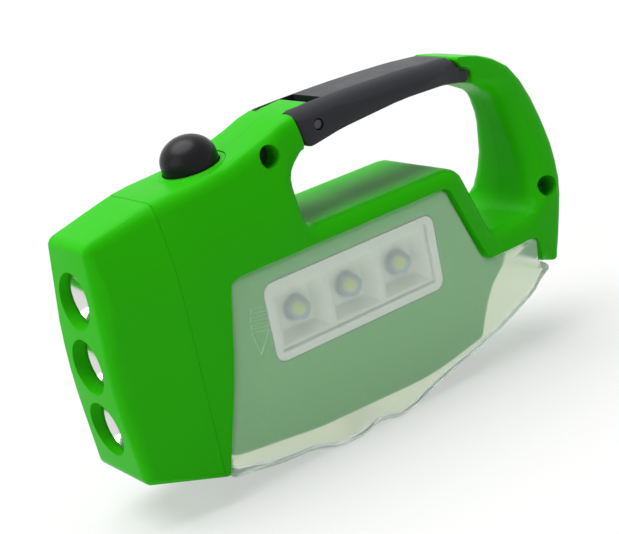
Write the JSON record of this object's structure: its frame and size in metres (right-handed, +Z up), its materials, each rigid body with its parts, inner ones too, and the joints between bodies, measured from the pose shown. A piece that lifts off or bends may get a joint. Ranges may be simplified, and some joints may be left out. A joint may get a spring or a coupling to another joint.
{
  "type": "flashlight",
  "caption": "Pocket torch with a spring-gate carry loop, a front light group, a framed side light, a domed push button and a slide-off frosted battery cover.",
  "frame": {"origin": "centre of the bounding box in length and thickness, at the height of the lowest feet of the cover, on which the torch stands", "axes": "+X from the front lights to the carry loop, +Y from the side with the side light to the side with the batteries, +Z up to the button and the gate"},
  "size_m": [0.1157, 0.0252, 0.0686],
  "materials": {
    "green_body": "moulded green plastic, satin gloss",
    "black_plastic": "moulded black plastic, satin",
    "black_rubber": "smooth black rubber",
    "frosted_cover": "frosted translucent pale green plastic",
    "white_frame": "off-white moulded plastic",
    "reflector": "metallised reflector",
    "led": "clear and yellowish epoxy",
    "board": "green circuit board",
    "steel": "bright steel",
    "contact_plate": "nickel-plated strip",
    "cell": "plain dark sleeve"
  },
  "bodies": {
    "body": {"bezel": "green_body", "left_shell": "green_body", "right_shell": "green_body", "front_reflector_1": "reflector", "front_reflector_2": "reflector", "front_reflector_3": "reflector", "front_led_1": "led", "front_led_2": "led", "front_led_3": "led", "front_board": "board", "lamp_frame": "white_frame", "lamp_reflector": "white_frame", "lamp_led_1": "led", "lamp_led_2": "led", "lamp_led_3": "led", "lamp_board": "board", "battery_1": "cell", "battery_2": "cell", "battery_3": "cell", "battery_spring_1": "steel", "battery_spring_2": "steel", "battery_spring_3": "steel", "contact_front_upper": "contact_plate", "contact_front_lower": "contact_plate", "contact_rear_upper": "contact_plate", "contact_rear_lower": "contact_plate", "switch_body": "black_plastic", "switch_board": "board", "gate_pin": "steel", "gate_spring": "steel", "shell_screw_1": "steel", "shell_screw_2": "steel"},
    "gate_arm": {"gate": "black_plastic"},
    "push_button": {"button": "black_rubber", "switch_plunger": "black_plastic"},
    "battery_cover": {"cover": "frosted_cover"}
  },
  "joints": [
    {"name": "gate_hinge", "type": "hinge", "parent": "body", "child": "gate_arm", "pos_m": [-0.00175, 0, 0.0643], "axis": [0, 1, 0], "range_deg": [0, 28], "stiffness_Nm_per_rad": 0.02, "springref_deg": -20.05},
    {"name": "button_press", "type": "slide", "parent": "body", "child": "push_button", "axis": [0.1219, 0, -0.9925], "range_m": [0, 0.0015], "stiffness_N_per_m": 600, "springref_m": -0.0015},
    {"name": "cover_slide", "type": "slide", "parent": "body", "child": "battery_cover", "axis": [0, 0, -1], "range_m": [0, 0.055]}
  ]
}
